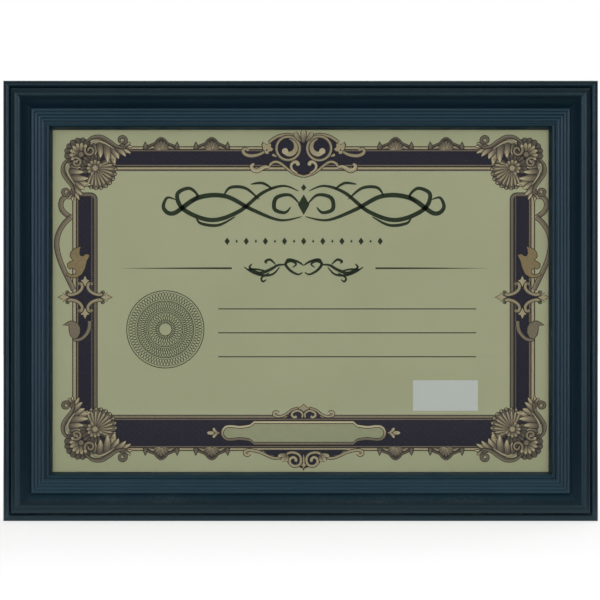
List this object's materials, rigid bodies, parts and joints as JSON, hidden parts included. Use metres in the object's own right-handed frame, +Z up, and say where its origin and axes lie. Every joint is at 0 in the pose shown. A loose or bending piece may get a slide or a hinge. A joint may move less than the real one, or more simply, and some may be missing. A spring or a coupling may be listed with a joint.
{
  "type": "picture frame",
  "caption": "Landscape certificate frame: dark mitred wood moulding with beads and reeds, glass, printed sheet, back board with turn buttons, hanging rings and a folding easel leg.",
  "frame": {"origin": "middle of the bottom edge, halfway through the moulding's depth", "axes": "+X along the long side, to the right as seen from the front; +Y out of the back; +Z up, with the picture side facing -Y"},
  "size_m": [0.347, 0.0223, 0.257],
  "materials": {
    "lacquered_wood": "blue-black satin lacquer on a wood moulding",
    "nail_steel": "bright spring steel",
    "clear_glass": "clear float glass with ground edges",
    "printed_paper": "olive-cream certificate paper with a printed ornamental border",
    "filler_card": "brown corrugated card",
    "hardboard": "brown hardboard, smooth side out",
    "leg_board": "hardboard with black paper on it",
    "button_brass": "pressed brass, satin",
    "screw_zinc": "zinc-plated",
    "strap_nickel": "nickel-plated pressed steel",
    "ring_nickel": "nickel-plated steel wire",
    "hinge_steel": "zinc-plated pressed steel"
  },
  "bodies": {
    "root": {"rail_top": "lacquered_wood", "rail_bottom": "lacquered_wood", "rail_left": "lacquered_wood", "rail_right": "lacquered_wood", "corner_v_nails": "nail_steel", "glass_pane": "clear_glass", "certificate_sheet": "printed_paper", "filler_card": "filler_card", "backing_board": "hardboard", "turn_button_screws": "screw_zinc", "hanger_strap_top": "strap_nickel", "hanger_strap_side": "strap_nickel", "hanger_rivets": "strap_nickel", "hinge_leaf_board": "hinge_steel", "hinge_pin": "hinge_steel", "hinge_rivets_board": "hinge_steel"},
    "button_top_left": {"turn_button_top_left": "button_brass"},
    "button_top_right": {"turn_button_top_right": "button_brass"},
    "button_bottom_left": {"turn_button_bottom_left": "button_brass"},
    "button_bottom_right": {"turn_button_bottom_right": "button_brass"},
    "button_left": {"turn_button_left": "button_brass"},
    "button_right": {"turn_button_right": "button_brass"},
    "ring_top": {"hanger_ring_top": "ring_nickel"},
    "ring_side": {"hanger_ring_side": "ring_nickel"},
    "leg": {"easel_leg": "leg_board", "hinge_leaf_leg": "hinge_steel", "hinge_rivets_leg": "hinge_steel"}
  },
  "joints": [
    {"name": "turn_top_left", "type": "hinge", "parent": "root", "child": "button_top_left", "pos_m": [-0.085, 0.0091, 0.2415], "axis": [0, 1, 0], "continuous": true},
    {"name": "turn_top_right", "type": "hinge", "parent": "root", "child": "button_top_right", "pos_m": [0.085, 0.0091, 0.2415], "axis": [0, 1, 0], "continuous": true},
    {"name": "turn_bottom_left", "type": "hinge", "parent": "root", "child": "button_bottom_left", "pos_m": [-0.085, 0.0091, 0.0155], "axis": [0, 1, 0], "continuous": true},
    {"name": "turn_bottom_right", "type": "hinge", "parent": "root", "child": "button_bottom_right", "pos_m": [0.085, 0.0091, 0.0155], "axis": [0, 1, 0], "continuous": true},
    {"name": "turn_left", "type": "hinge", "parent": "root", "child": "button_left", "pos_m": [-0.158, 0.0091, 0.1285], "axis": [0, 1, 0], "continuous": true},
    {"name": "turn_right", "type": "hinge", "parent": "root", "child": "button_right", "pos_m": [0.158, 0.0091, 0.1285], "axis": [0, 1, 0], "continuous": true},
    {"name": "ring_top_swing", "type": "hinge", "parent": "root", "child": "ring_top", "pos_m": [0, 0.0105, 0.209], "axis": [1, 0, 0], "range_deg": [0, 180]},
    {"name": "ring_side_swing", "type": "hinge", "parent": "root", "child": "ring_side", "pos_m": [-0.1255, 0.0105, 0.1285], "axis": [0, 0, 1], "range_deg": [0, 180]},
    {"name": "leg_open", "type": "hinge", "parent": "root", "child": "leg", "pos_m": [0, 0.0109, 0.172], "axis": [1, 0, 0], "range_deg": [0, 30]}
  ]
}
